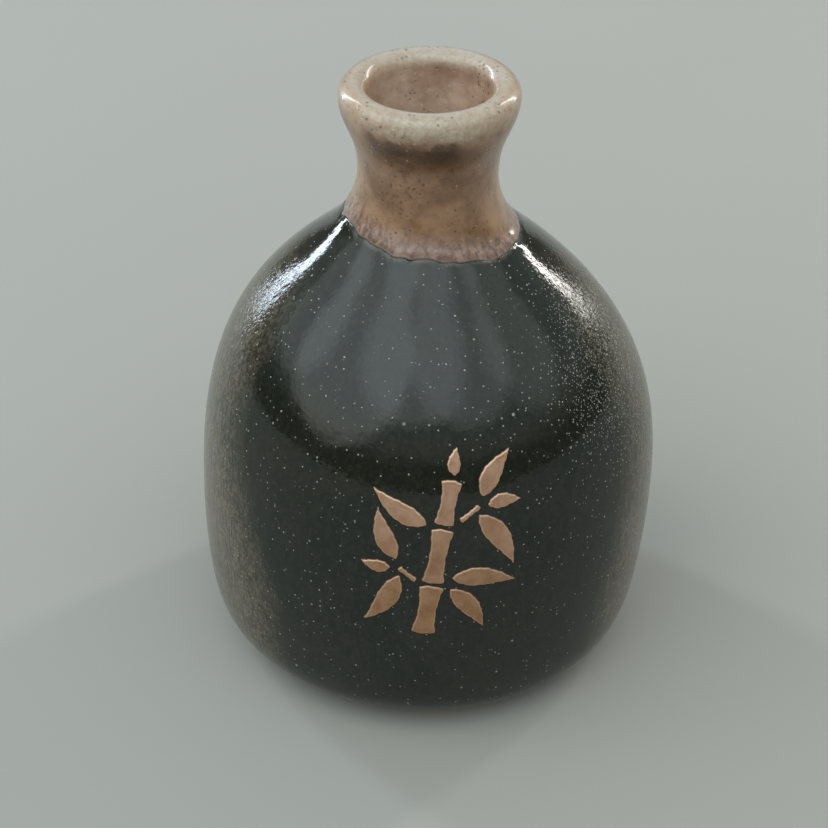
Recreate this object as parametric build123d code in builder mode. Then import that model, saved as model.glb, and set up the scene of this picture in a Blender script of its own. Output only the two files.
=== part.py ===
from build123d import *

import os
from math import cos, radians, sin

# A squat sake bottle of wheel-thrown stoneware, built up in the layers that the potter gives it: the
# clay wall, a glossy glaze on the belly, a satin glaze on the neck and in the throat, a liner glaze
# inside, and a sprig of bamboo brushed on in raised enamel, one piece for each stroke of the brush.
# Millimetres, +Z up. The origin is the middle of the foot, on the table. The sprig faces -Y.

# Finished sizes, over the glaze
bottle_height = 122.0
belly_radius = 46.0
belly_height = 33.5
neck_radius = 13.4
neck_height = 104.0
lip_radius = 17.1
lip_roll_radius = 2.7
throat_radius = 9.4
throat_bottom = 98.0
throat_length = 10.0

# Coats
glaze = 0.5
relief = 0.3
glaze_line = 2.8
glaze_border = 93.0

# Foot, floor and wall of the clay
foot_radius = 30.0
foot_height = 1.6
foot_ring_width = 6.0
recess_depth = 1.8
recess_draft = 0.8
floor_height = 6.0
wall = 3.6

# The clay's outside as (radius, height), from the foot up to the lip
spring = (foot_radius + 0.6, foot_height)
heel = [(41.0, 6.0), (44.3, 15.5)]
belly = (belly_radius - glaze, belly_height)
shoulder = [(44.0, 53.5), (39.8, 66.4), (32.3, 77.8), (23.6, 86.3), (16.6, 93.1)]
waist = (neck_radius - glaze, neck_height)
flare = [(13.8, 110.4), (15.3, 114.2)]
lip_height = bottle_height - lip_roll_radius
lip_outside = (lip_radius - glaze, lip_height)
lip_top = (lip_radius - lip_roll_radius, bottle_height - glaze)
lip_inside = (lip_radius - 2 * lip_roll_radius + glaze, lip_height)

# The clay's inside, from the throat down to the floor
throat_top = (throat_radius + glaze, throat_bottom + throat_length)
throat_end = (throat_radius + glaze, throat_bottom)
inner_shoulder = [(13.0, 92.0), (21.0, 83.6), (29.6, 75.3), (36.4, 65.0), (40.4, 52.5)]
inner_belly = (belly_radius - glaze - wall, belly_height)
inner_heel = [(40.8, 18.0), (34.6, 8.6)]
floor_edge = (24.0, floor_height)
floor = (0, floor_height)

# The bamboo: x and z of where each stroke starts, its angle from level, its length and its width
culms = [
    (-0.5, 29.4, 83, 10.6, 4.8),
    (1.0, 41.3, 81, 11.0, 4.4),
    (3.0, 53.6, 78, 8.0, 4.0),
]
twigs = [
    (6.1, 54.0, 36, 4.2, 1.3),
    (-2.2, 41.6, 140, 4.0, 1.3),
]
leaves = [
    (10.0, 58.2, 60, 9.6, 4.4),
    (11.0, 56.6, 4, 6.4, 3.4),
    (9.4, 55.0, -56, 13.4, 4.8),
    (-5.8, 46.0, 112, 11.0, 4.6),
    (-6.8, 44.2, 176, 5.8, 3.2),
    (-5.2, 42.6, 244, 13.2, 4.8),
    (4.4, 42.0, -6, 12.4, 4.8),
    (4.2, 39.6, -52, 12.0, 4.6),
    (0.0, 53.4, 150, 12.0, 4.6),
    (5.2, 62.4, 88, 5.2, 3.0),
]
leaf_bend = 0.08

upright = (0, 1)
downward = (0, -1)
inward = (-1, 0)

# How strongly each end of a spline holds to its heading
natural = (1, 1)
beyond = belly_radius + 10


def beside(line, distance):
    """The curve that runs along the right of another, at a distance, through the same stations."""
    curve, stations = line
    if not distance:
        return curve
    points = []
    for station in stations:
        heading = curve.tangent_at(station)
        points.append(Vector(*station) + Vector(heading.Y, -heading.X) * distance)
    if curve.geom_type == GeomType.LINE:
        return Line(*points)
    if curve.geom_type == GeomType.CIRCLE:
        return ThreePointArc(*points)
    return Spline(*points, tangents=[curve % 0, curve % 1], tangent_scalars=natural)


def coat_section(under, thickness, limits):
    """A coat laid over the clay, cut off at its limits, with what already lies under it left out."""
    near = [beside(line, under) for line in clay_lines]
    far = [beside(line, under + thickness) for line in clay_lines]
    with BuildSketch(Plane.XZ) as coat:
        with BuildLine():
            add(near)
            add(far)
            Line(near[0] @ 0, far[0] @ 0)
            Line(near[-1] @ 1, far[-1] @ 1)
        make_face()
        with BuildLine():
            Polyline(*limits, close=True)
        make_face(mode=Mode.INTERSECT)
    return coat.sketch


def finish(piece, name):
    """Names a piece and writes it."""
    piece.label = name
    export_step(piece, f"parts/{name}.step")
    print(f"{name}: {piece.volume:.1f} mm3")


os.makedirs("parts", exist_ok=True)

# Clay wall
recess_radius = foot_radius - foot_ring_width
stations = [
    (spring, *heel, belly, *shoulder, waist),
    (waist, *flare, lip_outside),
    (lip_outside, lip_top, lip_inside),
    (lip_inside, throat_top),
    (throat_top, throat_end),
    (throat_end, *inner_shoulder, inner_belly, *inner_heel, floor_edge),
    (floor_edge, floor),
]
with BuildLine() as clay_line:
    clay_curves = [
        Spline(*stations[0], tangents=[(1, 0.25), upright], tangent_scalars=natural),
        Spline(*stations[1], tangents=[upright, upright], tangent_scalars=natural),
        ThreePointArc(*stations[2]),
        Spline(*stations[3], tangents=[downward, downward], tangent_scalars=natural),
        Line(*stations[4]),
        Spline(*stations[5], tangents=[downward, inward], tangent_scalars=natural),
        Line(*stations[6]),
    ]
clay_lines = list(zip(clay_curves, stations))
with BuildPart() as stoneware_body:
    with BuildSketch(Plane.XZ):
        with BuildLine():
            add(clay_line)
            Polyline(
                floor,
                (0, recess_depth),
                (recess_radius - recess_draft, recess_depth),
                (recess_radius, 0),
                (foot_radius, 0),
                spring,
            )
        make_face()
    revolve(axis=Axis.Z)
finish(stoneware_body.part, "stoneware_body")

# A line down the middle of the wall parts what lies outside from what lies inside
outer_points = [*heel, belly, *shoulder]
inner_points = [*reversed(inner_heel), inner_belly, *reversed(inner_shoulder)]
mid_wall = [((a + c) / 2, (b + d) / 2) for (a, b), (c, d) in zip(outer_points, inner_points)]
mid_wall = [(foot_radius, glaze_line), *mid_wall, ((throat_radius + neck_radius + 6) / 2, glaze_border)]

# Belly glaze, from just above the foot to the root of the neck
outside_belly = [*mid_wall, (beyond, glaze_border), (beyond, glaze_line)]
with BuildPart() as belly_glaze:
    add(coat_section(0, glaze, outside_belly))
    revolve(axis=Axis.Z)
finish(belly_glaze.part, "belly_glaze")

# Neck glaze, from the root of the neck over the lip and down the throat
around_neck = [
    (0, glaze_border),
    (beyond, glaze_border),
    (beyond, bottle_height + glaze),
    (0, bottle_height + glaze),
]
with BuildPart() as neck_glaze:
    add(coat_section(0, glaze, around_neck))
    revolve(axis=Axis.Z)
finish(neck_glaze.part, "neck_glaze")

# Liner glaze, over the whole inside below the throat
inside_belly = [*mid_wall, (0, glaze_border), (0, glaze_line)]
with BuildPart() as liner_glaze:
    add(coat_section(0, glaze, inside_belly))
    revolve(axis=Axis.Z)
finish(liner_glaze.part, "liner_glaze")


def belly_form(distance):
    """The bottle up to its neck, filled solid, out to a distance over the clay."""
    rise = beside(clay_lines[0], distance)
    bottom = rise @ 0
    top = rise @ 1
    with BuildPart() as form:
        with BuildSketch(Plane.XZ):
            with BuildLine():
                add(rise)
                Polyline(top, (0, top.Y), (0, bottom.Y), bottom)
            make_face()
        revolve(axis=Axis.Z)
    return form.part


def brush_plane(x, z, angle):
    """The upright plane through the axis that faces the front, with its own x axis along a stroke."""
    along = (cos(radians(angle)), 0, sin(radians(angle)))
    return Plane(origin=(x, 0, z), x_dir=along, z_dir=(0, -1, 0))


def culm_outline(length, width):
    """A stretch of stem between two joints: waisted, with bulging ends."""
    half = width / 2
    bulge = 0.2 * half
    ThreePointArc((0, half), (length / 2, 0.74 * half), (length, half))
    ThreePointArc((length, half), (length + bulge, 0), (length, -half))
    ThreePointArc((length, -half), (length / 2, -0.74 * half), (0, -half))
    ThreePointArc((0, -half), (-bulge, 0), (0, half))


def leaf_outline(length, width):
    """A leaf, widest towards its stalk, with a long tip that bends to its right."""
    bend = leaf_bend * length
    tip = (length, -bend)
    Bezier((0, 0), (0.26 * length, 0.8 * width), (0.62 * length, 0.4 * width + bend), tip)
    Bezier(tip, (0.62 * length, bend - 0.4 * width), (0.26 * length, -0.66 * width), (0, 0))


enamelled_form = belly_form(glaze + relief)
glazed_form = belly_form(glaze)
strokes = [
    *[("culm", culm_outline, n, culm) for n, culm in enumerate(culms, 1)],
    *[("twig", culm_outline, n, twig) for n, twig in enumerate(twigs, 1)],
    *[("leaf", leaf_outline, n, leaf) for n, leaf in enumerate(leaves, 1)],
]
for kind, outline, n, (x, z, angle, length, width) in strokes:
    with BuildPart() as stroke:
        with BuildSketch(brush_plane(x, z, angle)):
            with BuildLine():
                outline(length, width)
            make_face()
        extrude(amount=beyond)
        add(enamelled_form, mode=Mode.INTERSECT)
        add(glazed_form, mode=Mode.SUBTRACT)
    finish(stroke.part, f"bamboo_{kind}_{n}")
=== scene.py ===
from math import cos, pi, radians, sin

import bpy
import numpy as np
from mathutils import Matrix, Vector
from mathutils.geometry import delaunay_2d_cdt


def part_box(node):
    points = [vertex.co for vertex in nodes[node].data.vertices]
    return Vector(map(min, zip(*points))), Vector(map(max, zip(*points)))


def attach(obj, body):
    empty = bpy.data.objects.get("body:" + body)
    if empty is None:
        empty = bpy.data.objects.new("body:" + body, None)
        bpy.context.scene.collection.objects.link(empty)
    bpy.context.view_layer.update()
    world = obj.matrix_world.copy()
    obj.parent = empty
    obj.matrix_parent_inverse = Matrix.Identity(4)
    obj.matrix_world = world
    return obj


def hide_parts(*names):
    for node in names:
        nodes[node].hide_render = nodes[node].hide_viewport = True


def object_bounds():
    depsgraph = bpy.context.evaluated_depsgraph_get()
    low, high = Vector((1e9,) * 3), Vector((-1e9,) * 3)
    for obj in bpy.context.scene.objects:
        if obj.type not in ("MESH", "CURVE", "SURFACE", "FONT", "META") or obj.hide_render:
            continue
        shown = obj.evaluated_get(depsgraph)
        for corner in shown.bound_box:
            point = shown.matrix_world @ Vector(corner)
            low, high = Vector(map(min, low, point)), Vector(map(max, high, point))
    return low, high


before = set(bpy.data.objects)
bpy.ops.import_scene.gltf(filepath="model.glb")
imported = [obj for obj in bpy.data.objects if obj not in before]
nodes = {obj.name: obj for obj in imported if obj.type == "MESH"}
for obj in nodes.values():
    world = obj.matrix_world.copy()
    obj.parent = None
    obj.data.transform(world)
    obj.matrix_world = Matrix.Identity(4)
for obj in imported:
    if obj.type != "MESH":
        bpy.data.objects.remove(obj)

# A squat sake bottle of wheel-thrown stoneware. Shapes are worked out in millimetres from the CAD
# bodies' own sections, and written to the meshes in metres. The front of the bottle faces -Y.
# Azimuth runs round the bottle from the front, positive towards +X.
MM = 0.001
cad_low, cad_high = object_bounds()

# ---------------------------------------------------------------------------------------------
# Curves


def cubic_through(points):
    """A smooth cubic through points, sampled evenly by length. Returns lengths, positions and headings."""
    points = np.asarray(points, float)
    knots = np.concatenate([[0], np.cumsum(np.linalg.norm(np.diff(points, axis=0), axis=1))])
    gap = np.diff(knots)
    count = len(points)
    system = np.zeros((count, count))
    right = np.zeros((count, points.shape[1]))
    system[0, 0] = system[-1, -1] = 1
    for i in range(1, count - 1):
        system[i, i - 1 : i + 2] = gap[i - 1], 2 * (gap[i - 1] + gap[i]), gap[i]
        rise_after = (points[i + 1] - points[i]) / gap[i]
        rise_before = (points[i] - points[i - 1]) / gap[i - 1]
        right[i] = 6 * (rise_after - rise_before)
    bend = np.linalg.solve(system, right)
    fine = np.arange(0, knots[-1], 0.02)
    span = np.clip(np.searchsorted(knots, fine, side="right") - 1, 0, count - 2)
    after = (fine - knots[span])[:, None]
    before = gap[span][:, None] - after
    width = gap[span][:, None]
    curve = (
        bend[span] * before**3 / (6 * width)
        + bend[span + 1] * after**3 / (6 * width)
        + (points[span] / width - bend[span] * width / 6) * before
        + (points[span + 1] / width - bend[span + 1] * width / 6) * after
    )
    curve = np.vstack([curve, points[-1]])
    lengths = np.concatenate([[0], np.cumsum(np.linalg.norm(np.diff(curve, axis=0), axis=1))])
    headings = np.gradient(curve, lengths, axis=0)
    headings /= np.linalg.norm(headings, axis=1)[:, None]
    return lengths, curve, headings


def section_chains(name):
    """The edges of a turned CAD body in the half-plane y = 0, x > 0, chained into runs of (x, z) in mm."""
    mesh = nodes[name].data
    spots = np.zeros(len(mesh.vertices) * 3, np.float32)
    mesh.vertices.foreach_get("co", spots)
    spots = spots.reshape(-1, 3).astype(float) / MM
    ends = np.zeros(len(mesh.edges) * 2, np.int32)
    mesh.edges.foreach_get("vertices", ends)
    on_plane = (np.abs(spots[:, 1]) < 1e-4) & (spots[:, 0] > 1e-3)
    near = {}
    for a, b in ends.reshape(-1, 2):
        if on_plane[a] and on_plane[b]:
            p = (round(spots[a, 0], 3), round(spots[a, 2], 3))
            q = (round(spots[b, 0], 3), round(spots[b, 2], 3))
            if p != q:
                near.setdefault(p, set()).add(q)
                near.setdefault(q, set()).add(p)
    chains = []
    for start in sorted(p for p in near if len(near[p]) == 1):
        if any(start == chain[-1] for chain in chains):
            continue
        chain = [start]
        while True:
            onward = sorted(q for q in near[chain[-1]] if q not in chain[-2:])
            if not onward:
                break
            chain.append(onward[0])
        chains.append(chain)
    return sorted(chains, key=len)


def rounded(corners, radius, steps=6):
    """A run of straight lines with its inner corners rounded off."""
    corners = [np.asarray(c, float) for c in corners]
    line = [corners[0]]
    for before, corner, after in zip(corners, corners[1:], corners[2:]):
        back, ahead = before - corner, after - corner
        reach = min(radius, 0.45 * np.linalg.norm(back), 0.45 * np.linalg.norm(ahead))
        start = corner + back / np.linalg.norm(back) * reach
        end = corner + ahead / np.linalg.norm(ahead) * reach
        for n in range(steps + 1):
            t = n / steps
            line.append((1 - t) ** 2 * start + 2 * t * (1 - t) * corner + t**2 * end)
    line.append(corners[-1])
    return np.array(line)


# The clay's section: the foot from its recess outwards, then the wall from the outside of the foot
# up, over the lip and down to the floor
section = section_chains("stoneware_body")[-1]
if section[0][1] > section[-1][1]:
    section = section[::-1]
foot_end = max(i for i, (_, height) in enumerate(section) if height < 0.01) + 1
foot_chain = section[:foot_end]
length, clay, heading = cubic_through(section[foot_end:])
outward = np.stack([heading[:, 1], -heading[:, 0]], axis=1)
lip_at = int(np.argmax(clay[:, 1]))
whole = length[-1]


def at(run, table):
    """A table along the clay's section read at the given lengths."""
    return np.stack([np.interp(run, length, table[:, 0]), np.interp(run, length, table[:, 1])], axis=-1)


def outside_at(height):
    """How far along the section the outside reaches a height."""
    return np.interp(height, clay[: lip_at + 1, 1], length[: lip_at + 1])


def inside_at(height):
    """How far along the section the inside comes down to a height."""
    return np.interp(-height, -clay[lip_at:, 1], length[lip_at:])


# Coat thickness and the heights at which the coats meet, read off the CAD coats
glaze = (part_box("belly_glaze")[1].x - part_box("stoneware_body")[1].x) / MM
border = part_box("neck_glaze")[0].z / MM
foot_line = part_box("belly_glaze")[0].z / MM
top = cad_high.z / MM
belly_radius = cad_high.x / MM
relief = 0.3

# How deep each piece is sunk into the one beneath it, and the radius left open at the axis for a pole
coat_sunk = 0.06
stroke_sunk = 0.09
pole_radius = 0.4

# ---------------------------------------------------------------------------------------------
# The hand of the potter: how far the turned form is from a true one

lean_height, lean_offset = zip(
    (0, -0.5), (10, -0.6), (33, 0.0), (50, 0.25), (66, -0.2), (80, -0.8), (92, -0.5), (104, 0.05), (122, 0.3)
)
lean_curve = cubic_through(list(zip(lean_height, lean_offset)))[1]


def warped(x, y, z):
    """The thrown form: a little lean, a little out of round, with faint throwing ridges."""
    radius = np.hypot(x, y) + 1e-9
    around = np.arctan2(x, -y)
    share = radius / belly_radius
    out_of_round = 0.22 * np.cos(2 * around - 0.7) + 0.10 * np.sin(3 * around + z / 17)
    unevenness = 0.05 * np.sin(4 * around + z / 19) * np.sin(z / 13 + 2 * np.sin(around))
    ridges = 0.008 * np.sin(2 * pi * z / 6.3 + 0.8 * np.sin(around))
    settle = np.clip(z / 6, 0, 1)
    grow = 1 + share * settle * (out_of_round + unevenness + ridges) / radius
    lean = np.interp(z, lean_curve[:, 0], lean_curve[:, 1])
    return np.stack([x * grow + lean * settle, y * grow, z], axis=-1)


def border_height(around):
    """The wavy line round the root of the neck where the two glazes meet."""
    wave = 0.28 * np.sin(5 * around + 0.6) + 0.18 * np.sin(11 * around + 2.0) + 0.10 * np.sin(23 * around + 0.4)
    notches = 0.30 * np.clip(np.sin(17 * around + 1.2) * np.sin(7 * around - 0.5), 0, 1) ** 3
    return border + 0.15 - 2.0 * np.sin(around) + wave - notches


def foot_line_height(around):
    """The edge of the belly's glaze round the foot."""
    wave = 0.35 * np.sin(3 * around + 1.0) + 0.2 * np.sin(8 * around) + 0.12 * np.sin(19 * around + 2)
    return foot_line + wave


def throat_line_height(around):
    """Where the neck's glaze ends inside."""
    return border + 0.4 * np.sin(2 * around) + 0.25 * np.sin(7 * around + 1)


# ---------------------------------------------------------------------------------------------
# Meshes


def make_piece(name, verts, quads, tris, values, material, node):
    """A closed piece of the object from points in mm, riding on the root and standing for a CAD node."""
    mesh = bpy.data.meshes.new(name)
    verts = np.asarray(verts, float) * MM
    quads = np.asarray(quads, np.int32).reshape(-1, 4)
    tris = np.asarray(tris, np.int32).reshape(-1, 3)
    corners = np.concatenate([quads.ravel(), tris.ravel()]).astype(np.int32)
    starts = np.concatenate([np.arange(len(quads)) * 4, len(quads) * 4 + np.arange(len(tris)) * 3])
    mesh.vertices.add(len(verts))
    mesh.vertices.foreach_set("co", verts.ravel().astype(np.float32))
    mesh.loops.add(len(corners))
    mesh.loops.foreach_set("vertex_index", corners)
    mesh.polygons.add(len(starts))
    mesh.polygons.foreach_set("loop_start", starts.astype(np.int32))
    mesh.update(calc_edges=True)
    mesh.validate()
    mesh.polygons.foreach_set("use_smooth", np.ones(len(mesh.polygons), bool))
    for key, value in values.items():
        layer = mesh.attributes.new(key, "FLOAT", "POINT")
        layer.data.foreach_set("value", np.asarray(value, np.float32).ravel())
    mesh.materials.append(material)
    piece = bpy.data.objects.new(name, mesh)
    bpy.context.scene.collection.objects.link(piece)
    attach(piece, "root")
    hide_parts(node)
    return piece


def turned(rows, ring):
    """Quads of rows of points round the bottle. A ring joins last row to first; else each end has a pole."""
    count, around = rows
    i = np.arange(count if ring else count - 1)[:, None]
    j = np.arange(around)[None, :]
    a = i * around + j
    b = i * around + (j + 1) % around
    c = ((i + 1) % count) * around + (j + 1) % around
    d = ((i + 1) % count) * around + j
    quads = np.stack([a, b, c, d], axis=-1).reshape(-1, 4)
    tris = []
    if not ring:
        first, last = count * around, count * around + 1
        ahead = (np.arange(around) + 1) % around
        tris = np.concatenate(
            [
                np.stack([np.full(around, first), ahead, np.arange(around)], axis=-1),
                np.stack(
                    [
                        np.full(around, last),
                        (count - 1) * around + np.arange(around),
                        (count - 1) * around + ahead,
                    ],
                    axis=-1,
                ),
            ]
        )
    return quads, tris


def swept(run, out, azimuth):
    """Points of the thrown form, at a length along the clay's section and a distance over it."""
    spot = at(run, clay) + at(run, outward) * out[..., None]
    radius = np.maximum(spot[..., 0], 0)
    return warped(radius * np.sin(azimuth), -radius * np.cos(azimuth), spot[..., 1])


def azimuths(count):
    return np.arange(count) * 2 * pi / count


def eased(count, ends=0.35):
    """Steps from 0 to 1 that are closer together at both ends."""
    t = np.linspace(0, 1, count)
    return (1 - ends) * t + ends * (t - np.sin(2 * pi * t) / (2 * pi))


def coat(name, start, end, counts, thickness, values, material, node):
    """A coat of glaze over the clay between two lines, closed by a face sunk a little into the clay."""
    rows, around = counts
    azimuth = azimuths(around)[None, :]
    start, end = start(azimuths(around))[None, :], end(azimuths(around))[None, :]
    steps = eased(rows)[:, None]
    run = start + (end - start) * steps
    from_start, from_end = run - start, end - run
    out = thickness(from_start, from_end, run, azimuth)
    face = swept(run, out, azimuth)
    back_steps = np.linspace(1, 0, rows // 4)[:, None]
    back_run = start + (end - start) * back_steps
    back = swept(back_run, np.full(back_run.shape, -coat_sunk), np.broadcast_to(azimuth, back_run.shape))
    spots = np.concatenate([face, back])
    quads, tris = turned(spots.shape[:2], True)
    made = {}
    for key, worked in values.items():
        made[key] = np.concatenate([worked(from_start, from_end, run, azimuth), np.zeros(back_run.shape)])
    return make_piece(name, spots.reshape(-1, 3), quads, tris, made, material, node)


def bead(distance, width, full):
    """How thick a coat is near its edge: round at the very edge, a little fat, then even."""
    near = np.clip(distance / width, 0, 1)
    fat = 0.16 * full * np.exp(-(((distance - 1.1 * width) / (0.8 * width)) ** 2))
    return full * np.sqrt(1 - (1 - near) ** 2) + fat * near


# ---------------------------------------------------------------------------------------------
# Material helpers


class Nodes:
    """Short-hand for building one material's node tree."""

    def __init__(self, name):
        self.material = bpy.data.materials.new(name)
        self.material.use_nodes = True
        self.tree = self.material.node_tree
        self.shader = self.tree.nodes["Principled BSDF"]
        self.coords = self.tree.nodes.new("ShaderNodeTexCoord").outputs["Object"]

    def node(self, kind, **settings):
        made = self.tree.nodes.new(kind)
        for key, value in settings.items():
            setattr(made, key, value)
        return made

    def feed(self, socket, value):
        if isinstance(value, bpy.types.NodeSocket):
            self.tree.links.new(value, socket)
        elif isinstance(value, tuple) and len(value) == 3 and socket.type == "RGBA":
            socket.default_value = (*value, 1)
        else:
            socket.default_value = value

    def attribute(self, name):
        return self.node("ShaderNodeAttribute", attribute_name=name).outputs["Fac"]

    def stretched(self, x, y, z):
        made = self.node("ShaderNodeMapping")
        self.feed(made.inputs["Vector"], self.coords)
        made.inputs["Scale"].default_value = (x, y, z)
        return made.outputs["Vector"]

    def noise(self, size, detail=3.0, roughness=0.5, coords=None):
        """Noise from 0 to 1 whose features are about size mm across."""
        made = self.node("ShaderNodeTexNoise")
        self.feed(made.inputs["Vector"], coords or self.coords)
        made.inputs["Scale"].default_value = 1000 / size
        made.inputs["Detail"].default_value = detail
        made.inputs["Roughness"].default_value = roughness
        return made.outputs["Fac"]

    def cells(self, size):
        """Distance to the nearest point of a scatter about size mm apart, and that point's random value."""
        made = self.node("ShaderNodeTexVoronoi")
        self.feed(made.inputs["Vector"], self.coords)
        made.inputs["Scale"].default_value = 1000 / size
        split = self.node("ShaderNodeSeparateColor")
        self.feed(split.inputs["Color"], made.outputs["Color"])
        return made.outputs["Distance"], split.outputs["Red"]

    def math(self, operation, a, b=0.5):
        made = self.node("ShaderNodeMath", operation=operation)
        for socket, value in zip(made.inputs, (a, b)):
            self.feed(socket, value)
        return made.outputs["Value"]

    def ramp(self, value, low, high, to_low=0.0, to_high=1.0):
        """A smooth step from to_low to to_high as value goes from low to high."""
        made = self.node("ShaderNodeMapRange", interpolation_type="SMOOTHSTEP")
        keys = ("Value", "From Min", "From Max", "To Min", "To Max")
        for key, item in zip(keys, (value, low, high, to_low, to_high)):
            self.feed(made.inputs[key], item)
        return made.outputs["Result"]

    def mix(self, share, a, b):
        made = self.node("ShaderNodeMix", data_type="RGBA")
        self.feed(made.inputs[0], share)
        self.feed(made.inputs[6], a)
        self.feed(made.inputs[7], b)
        return made.outputs[2]

    def specks(self, size, radius, chosen, soft=0.35):
        """Round specks: 1 inside, 0 outside. chosen is the share of the scatter's points that have one."""
        distance, pick = self.cells(size)
        shape = self.ramp(distance, radius * (1 - soft), radius * (1 + soft), 1, 0)
        strength = self.ramp(self.math("DIVIDE", pick, chosen), 0, 1, 1, 0.25)
        present = self.math("LESS_THAN", pick, chosen)
        return self.math("MULTIPLY", shape, self.math("MULTIPLY", strength, present))

    def bump(self, height, depth, previous=None):
        """Bump of depth mm where height is 1."""
        made = self.node("ShaderNodeBump")
        made.inputs["Strength"].default_value = 1
        made.inputs["Distance"].default_value = depth * MM
        self.feed(made.inputs["Height"], height)
        if previous:
            self.feed(made.inputs["Normal"], previous)
        return made.outputs["Normal"]

    def height(self):
        split = self.node("ShaderNodeSeparateXYZ")
        self.feed(split.inputs["Vector"], self.coords)
        return self.math("MULTIPLY", split.outputs["Z"], 1 / MM)

    def finish(self, colour, roughness, normal, ior=1.5, metallic=None, **constant):
        self.feed(self.shader.inputs["Base Color"], colour)
        self.feed(self.shader.inputs["Roughness"], roughness)
        self.feed(self.shader.inputs["Normal"], normal)
        self.shader.inputs["IOR"].default_value = ior
        if metallic is not None:
            self.feed(self.shader.inputs["Metallic"], metallic)
        for key, value in constant.items():
            self.shader.inputs[key.replace("_", " ")].default_value = value
        return self.material


def dark_glaze():
    """Near-black glossy glaze with a green cast, pale pinholes that are partly painted glints of light, and a
    grainy skin at the sides and foot that also carries a painted beige reflection at the sides.
    """
    n = Nodes("dark_glaze")
    cloud = n.noise(16, 4, 0.6)
    colour = n.mix(n.ramp(cloud, 0.35, 0.65), (0.0016, 0.0058, 0.0044), (0.0052, 0.0080, 0.0050))
    grain_and_side_reflection_share = n.attribute("grain_and_side_reflection")
    fine = n.noise(0.8, 2, 0.6)
    streaks = n.noise(1.0, 3, 0.6, n.stretched(1, 1, 0.35))
    roughened = n.math("ADD", fine, n.math("MULTIPLY", streaks, 0.8))
    grains_and_reflection = n.math("MULTIPLY", n.ramp(roughened, 0.82, 1.06), grain_and_side_reflection_share)
    # Painted reflection: a beige veil over the sides stands for the surroundings reflected at a grazing angle.
    painted_side_reflection = n.math("MULTIPLY", grain_and_side_reflection_share, n.ramp(n.noise(2.2, 3), 0.25, 0.65, 0.35, 0.80))
    colour = n.mix(painted_side_reflection, colour, (0.092, 0.074, 0.046))
    # The grainy skin is painted pale beige here, partly as real grit and partly as painted reflection.
    colour = n.mix(n.math("MULTIPLY", grains_and_reflection, 0.70), colour, (0.180, 0.145, 0.092))
    # Pale specks: partly pinholes showing paler glaze, partly painted glints of light on the glaze's pimples.
    small = n.specks(0.7, 0.22, n.math("MULTIPLY", n.attribute("specks"), 0.80))
    large = n.specks(1.7, 0.115, n.math("ADD", n.math("MULTIPLY", n.attribute("specks"), 0.5), 0.12))
    rare = n.specks(5.2, 0.055, 0.35)
    fine_pinholes_and_glints = n.specks(0.45, 0.27, n.math("MULTIPLY", n.ramp(n.attribute("specks"), 0.3, 0.9), 0.85))
    pinholes_and_glints = n.math("MAXIMUM", n.math("MAXIMUM", small, large), n.math("MAXIMUM", rare, fine_pinholes_and_glints))
    colour = n.mix(n.math("MULTIPLY", pinholes_and_glints, 0.8), colour, (0.42, 0.42, 0.37))
    near_border = n.ramp(n.attribute("to_border"), 0.15, 1.15, 1, 0)
    thin = n.math("MULTIPLY", near_border, n.ramp(n.noise(1.6, 2), 0.25, 0.6))
    colour = n.mix(thin, colour, (0.085, 0.085, 0.062))
    near_foot = n.ramp(n.attribute("to_foot"), 0.1, 0.8, 1, 0)
    at_foot = n.math("MULTIPLY", near_foot, n.ramp(n.noise(2.0, 2), 0.2, 0.6))
    colour = n.mix(at_foot, colour, (0.075, 0.048, 0.026))
    roughness = n.math("ADD", n.math("MULTIPLY", pinholes_and_glints, 0.25), n.ramp(n.noise(9, 3), 0.3, 0.7, 0.045, 0.085))
    roughness = n.math("ADD", roughness, n.math("MULTIPLY", grains_and_reflection, 0.16))
    normal = n.bump(n.noise(3.2, 2, 0.5), 0.05)
    normal = n.bump(pinholes_and_glints, 0.05, normal)
    normal = n.bump(n.math("MULTIPLY", n.math("ADD", fine, streaks), grain_and_side_reflection_share), 0.16, normal)
    return n.finish(
        colour, roughness, normal, 1.50, Sheen_Weight=0.03, Sheen_Roughness=0.25, Sheen_Tint=(1, 0.84, 0.62, 1)
    )


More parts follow.
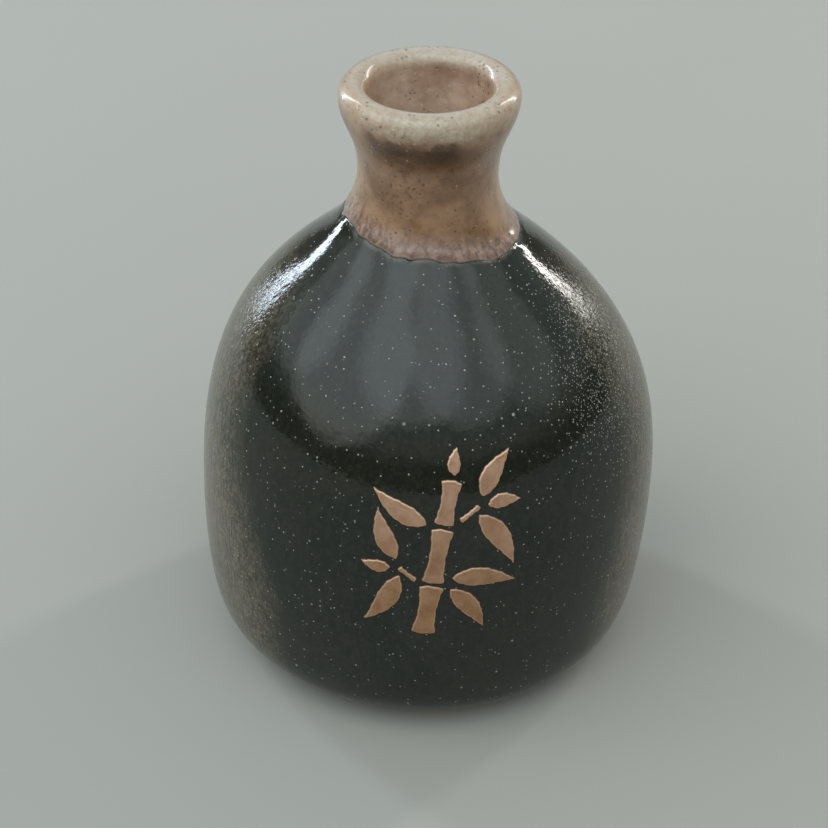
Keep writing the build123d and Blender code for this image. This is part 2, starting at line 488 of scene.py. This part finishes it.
def brown_glaze():
    """Satin iron glaze: pale on the lip, dark under it, mottled on the neck, pinker at the belly."""
    n = Nodes("brown_glaze")
    height = n.height()
    cloud = n.noise(7, 4, 0.62)
    fine = n.noise(1.1, 3, 0.6)
    brown = n.mix(n.ramp(cloud, 0.32, 0.68), (0.170, 0.080, 0.036), (0.310, 0.172, 0.092))
    waver = n.math("ADD", height, n.math("MULTIPLY", n.math("SUBTRACT", cloud, 0.5), 8.0))
    lip = n.mix(n.ramp(fine, 0.3, 0.7), (0.390, 0.295, 0.205), (0.530, 0.435, 0.340))
    colour = n.mix(n.ramp(waver, top - 6.0, top - 2.0), brown, lip)
    shadow = n.math("MULTIPLY", n.ramp(waver, top - 13.0, top - 8.5), n.ramp(waver, top - 6.8, top - 4.2, 1, 0))
    shadow = n.math("MULTIPLY", shadow, n.ramp(cloud, 0.25, 0.6, 0.9, 0.55))
    colour = n.mix(shadow, colour, (0.060, 0.034, 0.020))
    patches = n.math("MULTIPLY", n.ramp(n.noise(2.4, 4, 0.7), 0.50, 0.64), n.ramp(n.noise(12, 2), 0.42, 0.60))
    patches = n.math("MULTIPLY", patches, n.ramp(height, top - 8.0, top - 5.0, 1.0, 0.15))
    colour = n.mix(n.math("MULTIPLY", patches, 0.7), colour, (0.095, 0.042, 0.017))
    # Painted light: the neck's left and right sides are painted paler and warmer, where the side lights fall on
    # them.
    painted_side_light = n.math("MULTIPLY", n.attribute("painted_side_light"), n.ramp(cloud, 0.3, 0.65, 0.25, 0.85))
    colour = n.mix(painted_side_light, colour, (0.450, 0.268, 0.150))
    edge = n.attribute("to_border")
    runs = n.noise(1.0, 3, 0.6, n.stretched(1, 1, 0.22))
    wash = n.math("ADD", edge, n.math("MULTIPLY", n.math("SUBTRACT", runs, 0.5), 9.0))
    pink = n.mix(n.ramp(runs, 0.35, 0.7), (0.150, 0.078, 0.055), (0.350, 0.225, 0.180))
    colour = n.mix(n.ramp(wash, 0.4, 6.5, 1, 0), colour, pink)
    inside = n.attribute("inside")
    throat = n.mix(n.ramp(cloud, 0.3, 0.7), (0.350, 0.215, 0.145), (0.560, 0.400, 0.300))
    colour = n.mix(n.math("MULTIPLY", inside, 0.85), colour, throat)
    crest = n.math("MULTIPLY", n.attribute("crest"), n.ramp(n.noise(2.5, 3), 0.3, 0.6, 0.45, 1.0))
    colour = n.mix(n.math("MULTIPLY", crest, 0.7), colour, (0.500, 0.440, 0.390))
    clusters = n.ramp(n.noise(11, 2), 0.46, 0.68)
    iron = n.specks(0.85, 0.33, n.math("ADD", n.math("MULTIPLY", clusters, 0.75), 0.10))
    colour = n.mix(n.math("MULTIPLY", iron, 0.62), colour, (0.055, 0.024, 0.012))
    pale = n.specks(1.3, 0.17, 0.30)
    colour = n.mix(n.math("MULTIPLY", pale, 0.55), colour, (0.58, 0.48, 0.40))
    line = n.ramp(edge, 0.08, 0.42, 1, 0)
    colour = n.mix(n.math("MULTIPLY", line, 0.8), colour, (0.120, 0.115, 0.090))
    pits = n.specks(1.5, 0.15, 0.5)
    roughness = n.ramp(cloud, 0.25, 0.75, 0.30, 0.46)
    normal = n.bump(n.noise(2.6, 3, 0.55), 0.16)
    normal = n.bump(n.noise(0.6, 3, 0.6), 0.05, normal)
    normal = n.bump(pits, -0.12, normal)
    normal = n.bump(iron, 0.04, normal)
    return n.finish(colour, roughness, normal, 1.5, Coat_Weight=0.6, Coat_Roughness=0.13)


def liner_glaze():
    """Thin brown glaze over the inside."""
    n = Nodes("liner_glaze")
    cloud = n.noise(12, 4, 0.6)
    colour = n.mix(n.ramp(cloud, 0.3, 0.7), (0.085, 0.050, 0.030), (0.150, 0.095, 0.060))
    iron = n.specks(1.2, 0.25, 0.4)
    colour = n.mix(n.math("MULTIPLY", iron, 0.6), colour, (0.035, 0.018, 0.010))
    roughness = n.ramp(n.noise(4, 3), 0.3, 0.7, 0.22, 0.36)
    normal = n.bump(n.noise(3, 3, 0.55), 0.12)
    return n.finish(colour, roughness, normal, 1.5)


def stoneware_clay():
    """Bare fired clay with sandy grog and iron specks."""
    n = Nodes("stoneware_clay")
    cloud = n.noise(9, 4, 0.6)
    colour = n.mix(n.ramp(cloud, 0.3, 0.7), (0.270, 0.180, 0.110), (0.390, 0.285, 0.190))
    grit = n.noise(0.45, 2, 0.6)
    colour = n.mix(n.ramp(grit, 0.5, 0.75, 0, 0.5), colour, (0.52, 0.42, 0.31))
    iron = n.specks(1.6, 0.17, 0.4)
    colour = n.mix(n.math("MULTIPLY", iron, 0.75), colour, (0.075, 0.040, 0.022))
    rings = n.noise(1.4, 2, 0.5, n.stretched(0.12, 0.12, 1))
    roughness = n.ramp(grit, 0.3, 0.7, 0.72, 0.92)
    normal = n.bump(grit, 0.12)
    normal = n.bump(rings, 0.10, normal)
    return n.finish(colour, roughness, normal, 1.5)


def copper_enamel():
    """Brushed-on copper lustre: satin, streaky along the brush, with a painted highlight just inside the edges
    and painted shade in red-brown at the very edges.
    """
    n = Nodes("copper_enamel")
    along = n.attribute("streak")
    coords = n.node("ShaderNodeCombineXYZ")
    n.feed(coords.inputs["X"], n.math("MULTIPLY", n.attribute("across"), 1.0))
    n.feed(coords.inputs["Y"], n.math("MULTIPLY", along, 0.16))
    brush = n.noise(0.55 * 1000, 3, 0.6, coords.outputs["Vector"])
    cloud = n.noise(3.2, 3, 0.6)
    fine = n.noise(0.35, 3, 0.65)
    # Painted light: the strokes are painted paler towards the top, where the shoulder catches more light.
    high = n.ramp(n.height(), 30, 64)
    low_tone = n.mix(n.ramp(cloud, 0.3, 0.7), (0.330, 0.165, 0.080), (0.450, 0.250, 0.140))
    high_tone = n.mix(n.ramp(cloud, 0.3, 0.7), (0.470, 0.260, 0.165), (0.620, 0.385, 0.270))
    colour = n.mix(high, low_tone, high_tone)
    colour = n.mix(n.ramp(brush, 0.42, 0.68, 0, 0.55), colour, (0.300, 0.135, 0.062))
    colour = n.mix(n.ramp(fine, 0.55, 0.8, 0, 0.5), colour, (0.600, 0.390, 0.260))
    from_edge = n.attribute("rim")
    # Painted highlight: a paler band just inside each stroke's edge stands for light catching the raised edge.
    painted_edge_highlight = n.math("MULTIPLY", n.ramp(from_edge, 0.08, 0.20), n.ramp(from_edge, 0.26, 0.42, 1, 0))
    colour = n.mix(n.math("MULTIPLY", painted_edge_highlight, 0.45), colour, (0.700, 0.500, 0.360))
    # Painted shade: the very edge of each stroke is painted dark red-brown.
    rim = n.ramp(n.attribute("rim"), 0.03, 0.15, 1, 0)
    colour = n.mix(n.math("MULTIPLY", rim, 0.8), colour, (0.160, 0.055, 0.024))
    metallic = n.ramp(fine, 0.35, 0.8, 0.72, 0.5)
    roughness = n.ramp(brush, 0.3, 0.7, 0.36, 0.50)
    normal = n.bump(fine, 0.02)
    normal = n.bump(brush, 0.035, normal)
    return n.finish(colour, roughness, normal, 1.5, metallic)


materials = {
    "stoneware_clay": stoneware_clay(),
    "dark_glaze": dark_glaze(),
    "brown_glaze": brown_glaze(),
    "liner_glaze": liner_glaze(),
    "copper_enamel": copper_enamel(),
}

# ---------------------------------------------------------------------------------------------
# Clay wall


def make_clay():
    around, rows_of_wall = 192, 230
    foot_rounding, wall_from = 0.7, 3.0
    azimuth = azimuths(around)[None, :]
    spring = tuple(clay[0])
    ahead = tuple(at(np.array(wall_from), clay))
    underside = rounded([(pole_radius, foot_chain[0][1]), *foot_chain, spring, ahead], foot_rounding)
    wall = at(np.linspace(wall_from, whole - pole_radius, rows_of_wall), clay)
    floor_radius, floor_height = wall[-1]
    across_floor = np.linspace(floor_radius, pole_radius, 12)[1:]
    inner_floor = np.stack([across_floor, np.full(len(across_floor), floor_height)], axis=-1)
    section = np.concatenate([underside[:-1], wall, inner_floor])
    radius, height = section[:, :1], np.broadcast_to(section[:, 1:], (len(section), around))
    spots = warped(radius * np.sin(azimuth), -radius * np.cos(azimuth), height)
    poles = np.array([spots[0].mean(0), spots[-1].mean(0)])
    quads, tris = turned(spots.shape[:2], False)
    verts = np.concatenate([spots.reshape(-1, 3), poles])
    clay_material = materials["stoneware_clay"]
    return make_piece(
        "stoneware_wall", verts, quads, tris, {}, clay_material, "stoneware_body"
    )


make_clay()

# ---------------------------------------------------------------------------------------------
# Coats of glaze

crease = 0.75


def belly_thickness(from_start, from_end, run, azimuth):
    foot_bead = bead(from_start, 0.7, glaze)
    at_border = 1 - 0.30 * np.exp(-((from_end / crease) ** 2))
    return foot_bead * at_border - coat_sunk * np.exp(-((from_start / 0.05) ** 2))


def neck_thickness(from_start, from_end, run, azimuth):
    roll = 0.07 * np.exp(-(((from_start - 1.3) / 0.9) ** 2))
    at_border = 1 - 0.30 * np.exp(-((from_start / crease) ** 2))
    return (glaze + roll) * at_border


def belly_height(run):
    return np.interp(run, length, clay[:, 1])


def speck_share(from_start, from_end, run, azimuth):
    """Pinholes, painted pale partly as glints of light, crowd on the right of the shoulder and thin out towards
    the front and the left.
    """
    height = belly_height(run)
    right = np.exp(-(((azimuth % (2 * pi) - 1.15) / 0.42) ** 2)) * np.exp(-(((height - 70) / 15) ** 2))
    back = 0.35 * np.clip(-np.cos(azimuth), 0, 1)
    return np.clip(0.16 + 0.95 * right + back * np.exp(-(((height - 60) / 30) ** 2)), 0, 1)


def grain_and_side_reflection_share(from_start, from_end, run, azimuth):
    """The glaze's skin is grainy low down and at the sides, most of all on the left; at the sides the same
    share also paints a beige reflection of the surroundings into the colour.
    """
    height = belly_height(run)
    low = np.clip((58 - height) / 30, 0, 1)
    left = np.clip((-np.sin(azimuth) - 0.80 + 0.20 * low) / 0.20, 0, 1)
    right = np.clip((np.sin(azimuth) - 0.84 + 0.12 * low) / 0.16, 0, 1)
    behind = 0.5 * np.clip(-np.cos(azimuth), 0, 1)
    return np.clip(0.06 + np.clip((88 - height) / 12, 0, 1) * (left + 0.85 * right) + behind * low, 0, 1)


coat(
    "belly_coat",
    lambda around: outside_at(foot_line_height(around)),
    lambda around: outside_at(border_height(around)),
    (216, 352),
    belly_thickness,
    {
        "specks": speck_share,
        "grain_and_side_reflection": grain_and_side_reflection_share,
        "to_border": lambda a, b, run, azimuth: b,
        "to_foot": lambda a, b, run, azimuth: a,
    },
    materials["dark_glaze"],
    "belly_glaze",
)
coat(
    "neck_coat",
    lambda around: outside_at(border_height(around)),
    lambda around: inside_at(throat_line_height(around)),
    (220, 256),
    neck_thickness,
    {
        "to_border": lambda a, b, run, azimuth: a,
        # Painted light on the neck's left and right sides, strongest side-on to the front.
        "painted_side_light": lambda a, b, run, azimuth: np.sin(azimuth) ** 2 + 0 * run,
        "inside": lambda a, b, run, azimuth: np.clip((run - length[lip_at] - 1.5) / 3, 0, 1) + 0 * azimuth,
        "crest": lambda a, b, run, azimuth: np.exp(-(((run - length[lip_at] - 0.5) / 1.1) ** 2)) + 0 * azimuth,
    },
    materials["brown_glaze"],
    "neck_glaze",
)


def make_liner():
    rows, around = 150, 144
    azimuth = azimuths(around)[None, :]
    start = inside_at(throat_line_height(azimuths(around)))[None, :]
    steps = np.linspace(0, 1, rows)[:, None]
    run = start + (whole - pole_radius - start) * steps
    face = swept(run, np.full(run.shape, glaze), np.broadcast_to(azimuth, run.shape))
    back_run = run[::-3]
    back = swept(back_run, np.full(back_run.shape, -coat_sunk), np.broadcast_to(azimuth, back_run.shape))
    # The floor is level, so both faces of the coat close in the middle of it
    level, upwards = np.array([1, 1, 0]), np.array([0, 0, 1])
    inward = np.linspace(1, 0.01, 10)[1:, None, None] * level
    middle_top = face[-1][None] * inward + face[-1][None] * upwards
    middle_low = back[0][None] * inward + back[0][None] * upwards
    spots = np.concatenate([middle_top[::-1], face[::-1], back[::-1], middle_low])[::-1]
    poles = np.array([spots[0].mean(0), spots[-1].mean(0)])
    quads, tris = turned(spots.shape[:2], False)
    verts = np.concatenate([spots.reshape(-1, 3), poles])
    return make_piece(
        "liner_coat", verts, quads, tris, {}, materials["liner_glaze"], "liner_glaze"
    )


make_liner()

# ---------------------------------------------------------------------------------------------
# The enamelled sprig


def outline_of(name):
    """The outline of a stroke as it is seen from the front, as (x, z) in mm, in order."""
    mesh = nodes[name].data
    spots = np.array([v.co for v in mesh.vertices]) / MM
    radius = np.hypot(spots[:, 0], spots[:, 1])
    skin = np.interp(spots[:, 2], clay[: lip_at + 1, 1], clay[: lip_at + 1, 0])
    keys = [(round(x, 3), round(z, 3)) for x, _, z in spots]
    edges = set()
    for polygon in mesh.polygons:
        loop = list(polygon.vertices)
        flat = [spots[v] for v in loop]
        normal = np.cross(flat[1] - flat[0], flat[2] - flat[0])
        size = np.linalg.norm(normal)
        if size < 1e-9 or normal[1] / size > -0.3:
            continue
        if (radius[loop] - skin[loop]).mean() < glaze:
            continue
        for a, b in zip(loop, loop[1:] + loop[:1]):
            p, q = keys[a], keys[b]
            if p != q:
                edges.add((p, q))
    ahead = {p: q for p, q in edges if (q, p) not in edges}
    start = min(ahead)
    loop, here = [start], ahead[start]
    while here != start and len(loop) < 5000:
        loop.append(here)
        here = ahead[here]
    return np.array(loop)


def even(loop, step):
    """A closed outline with its points evenly spaced."""
    closed = np.vstack([loop, loop[:1]])
    along = np.concatenate([[0], np.cumsum(np.linalg.norm(np.diff(closed, axis=0), axis=1))])
    count = int(along[-1] / step)
    want = np.arange(count) * along[-1] / count
    return np.stack([np.interp(want, along, closed[:, 0]), np.interp(want, along, closed[:, 1])], axis=-1)


def softened(loop, turns):
    for _ in range(turns):
        loop = 0.5 * loop + 0.25 * (np.roll(loop, 1, axis=0) + np.roll(loop, -1, axis=0))
    return loop


def distance_to(loop, spots):
    """Distance of each spot from a closed outline, and whether it is inside."""
    a, b = loop, np.roll(loop, -1, axis=0)
    side = b - a
    rel = spots[:, None, :] - a[None]
    t = np.clip((rel * side).sum(-1) / (side**2).sum(-1), 0, 1)
    gap = np.linalg.norm(rel - t[..., None] * side, axis=-1).min(axis=1)
    x, z = spots[:, :1], spots[:, 1:]
    spans = (a[:, 1] > z) != (b[:, 1] > z)
    cross = a[:, 0] + (z - a[:, 1]) * (b[:, 0] - a[:, 0]) / (b[:, 1] - a[:, 1] + 1e-12)
    inside = (spans & (x < cross)).sum(axis=1) % 2 == 1
    return gap, inside


glaze_skin = clay + outward * glaze


def on_glaze(spots, out):
    """Points on the front of the glazed form that are seen at (x, z), a distance over it."""
    x, z = spots[:, 0], spots[:, 1]
    rise = slice(0, lip_at + 1)
    radius = np.interp(z, glaze_skin[rise, 1], glaze_skin[rise, 0])
    facing_out = np.interp(z, glaze_skin[rise, 1], outward[rise, 0])
    facing_up = np.interp(z, glaze_skin[rise, 1], outward[rise, 1])
    y = -np.sqrt(radius**2 - x**2)
    nx, ny = x / radius * facing_out, y / radius * facing_out
    return warped(x + nx * out, y + ny * out, z + facing_up * out)


def stroke_height(gap, spots):
    """Enamel stands on the glaze with a round edge, a little fatter just inside it."""
    edge = np.sqrt(1 - (1 - np.clip(gap / 0.34, 0, 1)) ** 2)
    fat = 0.055 * np.exp(-(((gap - 0.42) / 0.2) ** 2))
    ripple = 0.02 * np.sin(3.1 * spots[:, 0] + 1.7 * spots[:, 1]) * np.clip(gap, 0, 1)
    return relief * edge + fat + ripple - 0.04 * np.exp(-((gap / 0.05) ** 2))


# Spacing of a stroke's points round its outline and across its middle, the depths of the rings of
# points inside its edge, and how far in the middle's points start
outline_step = 0.16
pitch = 0.34
ring_depths = (0.05, 0.12, 0.22, 0.36, 0.56)
fill_from = 0.72


def make_stroke(name):
    """One stroke of enamel: its outline with a slight tremble, filled, raised and closed underneath."""
    loop = softened(even(outline_of(name), outline_step), 3)
    number = sum(ord(c) for c in name)
    along = np.linspace(0, 2 * pi, len(loop), endpoint=False)
    centre = loop.mean(axis=0)
    ahead = np.roll(loop, -1, axis=0) - np.roll(loop, 1, axis=0)
    ahead /= np.linalg.norm(ahead, axis=1)[:, None]
    side = np.stack([-ahead[:, 1], ahead[:, 0]], axis=-1)
    area = 0.5 * np.sum(loop[:, 0] * np.roll(loop[:, 1], -1) - loop[:, 1] * np.roll(loop[:, 0], -1))
    if area < 0:
        side = -side
    tremble = 0.05 * np.sin(9 * along + number) + 0.035 * np.sin(17 * along + 2 * number)
    loop = loop + side * tremble[:, None]
    rings = []
    for depth in ring_depths:
        inset = loop + side * depth
        gap, inside = distance_to(loop, inset)
        rings.append(inset[inside & (gap > 0.9 * depth)])
    low, high = loop.min(axis=0), loop.max(axis=0)
    gx, gz = np.meshgrid(np.arange(low[0], high[0], pitch), np.arange(low[1], high[1], pitch * 0.866))
    gx = gx + (np.arange(gx.shape[0]) % 2)[:, None] * pitch / 2
    fill = np.stack([gx.ravel(), gz.ravel()], axis=-1)
    gap, inside = distance_to(loop, fill)
    fill = fill[inside & (gap > fill_from)]
    flat = np.concatenate([loop, *rings, fill])
    count = len(loop)
    edges = [(i, (i + 1) % count) for i in range(count)]
    face = list(range(count)) if area > 0 else list(range(count))[::-1]
    out = delaunay_2d_cdt([Vector(p) for p in flat], edges, [face], 1, 1e-5)
    flat = np.array([tuple(v) for v in out[0]])
    tris = np.array([t for t in out[2] if len(t) == 3])
    gap, _ = distance_to(loop, flat)
    gap[gap < 1e-4] = 0
    upper = on_glaze(flat, stroke_height(gap, flat))
    lower = on_glaze(flat, np.full(len(flat), -stroke_sunk))
    a, b, c = upper[tris[:, 0]], upper[tris[:, 1]], upper[tris[:, 2]]
    if np.cross(b - a, c - a)[:, 1].mean() > 0:
        tris = tris[:, ::-1]
    uses = {}
    for t in tris:
        for p, q in ((t[0], t[1]), (t[1], t[2]), (t[2], t[0])):
            uses[p, q] = True
    rim = [(p, q) for p, q in uses if (q, p) not in uses]
    under = len(flat)
    walls = [(q, p, p + under, q + under) for p, q in rim]
    faces = np.concatenate([tris, tris[:, ::-1] + under])
    spread = flat - centre
    axes = np.linalg.svd(spread, full_matrices=False)[2]
    lengthwise, crosswise = spread @ axes[0], spread @ axes[1]
    values = {
        "rim": np.concatenate([gap, np.zeros(under)]),
        "streak": np.concatenate([lengthwise, lengthwise]) * MM + 0.013 * number * MM,
        "across": np.concatenate([crosswise, crosswise]) * MM + 0.029 * number * MM,
    }
    return make_piece(
        name.replace("bamboo", "enamel"),
        np.concatenate([upper, lower]),
        walls,
        faces,
        values,
        materials["copper_enamel"],
        name,
    )


for name in sorted(nodes):
    if name.startswith("bamboo"):
        make_stroke(name)

# ---------------------------------------------------------------------------------------------
# Floor, light and camera


def make_floor():
    reach, count = 4.0, 24
    line = np.linspace(-reach, reach, count + 1)
    gx, gy = np.meshgrid(line, line)
    verts = np.stack([gx.ravel(), gy.ravel(), np.zeros(gx.size)], axis=-1)
    a = (np.arange(count)[:, None] * (count + 1) + np.arange(count)[None, :]).ravel()
    faces = np.stack([a, a + 1, a + count + 2, a + count + 1], axis=-1)
    mesh = bpy.data.meshes.new("floor")
    mesh.from_pydata(verts.tolist(), [], faces.tolist())
    n = Nodes("pale_floor")
    cloud = n.noise(220, 3)
    colour = n.mix(cloud, (0.345, 0.332, 0.305), (0.375, 0.362, 0.335))
    n.finish(colour, 0.65, n.bump(n.noise(1.5, 2), 0.03), 1.45)
    mesh.materials.append(n.material)
    floor = bpy.data.objects.new("floor", mesh)
    bpy.context.scene.collection.objects.link(floor)


def make_sky():
    """A soft studio round the bottle: dim near the horizon, brighter above, with broad soft lights in front."""
    world = bpy.data.worlds.new("studio")
    bpy.context.scene.world = world
    world.use_nodes = True
    tree = world.node_tree
    direction = tree.nodes.new("ShaderNodeTexCoord").outputs["Generated"]
    background = tree.nodes["Background"]

    def math(operation, a, b):
        made = tree.nodes.new("ShaderNodeMath")
        made.operation = operation
        for socket, value in zip(made.inputs, (a, b)):
            if isinstance(value, bpy.types.NodeSocket):
                tree.links.new(value, socket)
            else:
                socket.default_value = value
        return made.outputs[0]

    def ramp(value, low, high, to_low, to_high):
        made = tree.nodes.new("ShaderNodeMapRange")
        made.interpolation_type = "SMOOTHSTEP"
        tree.links.new(value, made.inputs["Value"])
        for key, item in zip(("From Min", "From Max", "To Min", "To Max"), (low, high, to_low, to_high)):
            made.inputs[key].default_value = item
        return made.outputs["Result"]

    def towards(azimuth, elevation):
        made = tree.nodes.new("ShaderNodeVectorMath")
        made.operation = "DOT_PRODUCT"
        tree.links.new(direction, made.inputs[0])
        a, e = radians(azimuth), radians(elevation)
        made.inputs[1].default_value = (sin(a) * cos(e), -cos(a) * cos(e), sin(e))
        return made.outputs["Value"]

    split = tree.nodes.new("ShaderNodeSeparateXYZ")
    tree.links.new(direction, split.inputs[0])
    up = split.outputs["Z"]
    total = ramp(up, 0.12, 0.34, 0.16, 0.50)
    for azimuth, elevation, inner, outer, power in lobes:
        lobe = ramp(towards(azimuth, elevation), cos(radians(outer)), cos(radians(inner)), 0.0, power)
        total = math("ADD", total, lobe)
    tint = tree.nodes.new("ShaderNodeMix")
    tint.data_type = "RGBA"
    tree.links.new(ramp(up, 0.0, 0.5, 0.0, 1.0), tint.inputs[0])
    tint.inputs[6].default_value = (1.0, 0.92, 0.81, 1)
    tint.inputs[7].default_value = (0.88, 0.99, 1.0, 1)
    tree.links.new(tint.outputs[2], background.inputs["Color"])
    tree.links.new(total, background.inputs["Strength"])


# Each broad light's azimuth and elevation, its half-widths at full and at no strength, all in degrees,
# and its strength
lobes = [
    (-96, 36, 14, 22, 0.75),
    (-56, 42, 27, 36, 1.15),
    (-10, 54, 20, 32, 0.80),
    (30, 52, 20, 30, 0.75),
    (76, 40, 14, 24, 0.55),
]


def softbox(name, azimuth, elevation, distance, size, power, colour):
    """A square soft light that faces the bottle's shoulder."""
    data = bpy.data.lights.new(name, "AREA")
    data.shape = "RECTANGLE"
    data.size, data.size_y = size
    data.energy = power
    data.color = colour
    light = bpy.data.objects.new(name, data)
    a, e = radians(azimuth), radians(elevation)
    aim = Vector((0, 0, 0.07))
    light.location = aim + distance * Vector((sin(a) * cos(e), -cos(a) * cos(e), sin(e)))
    light.rotation_euler = (aim - light.location).to_track_quat("-Z", "Y").to_euler()
    light.visible_camera = False
    bpy.context.scene.collection.objects.link(light)


make_floor()
make_sky()
softbox("window", -133, 22, 1.1, (0.12, 0.85), 4.5, (0.76, 0.88, 1.0))
softbox("far_window", 131, 24, 1.1, (0.08, 0.75), 3.0, (1.0, 0.97, 0.92))

# The camera looks down on the shoulder from in front
view_elevation = radians(32.79)
view_distance = 435.8
aim_height = 58.1
aim_below = radians(1.10)
aim_left = radians(0.408)
lens_mm = 94.67

camera_data = bpy.data.cameras.new("camera")
camera_data.lens = lens_mm
camera_data.sensor_width = 36
camera_data.clip_start = 0.01
camera = bpy.data.objects.new("camera", camera_data)
camera.location = (
    0,
    -view_distance * cos(view_elevation) * MM,
    (aim_height + view_distance * sin(view_elevation)) * MM,
)
camera.rotation_euler = (pi / 2 - view_elevation - aim_below, 0, aim_left)
bpy.context.scene.collection.objects.link(camera)
bpy.context.scene.camera = camera
bpy.context.scene.view_settings.view_transform = "Standard"
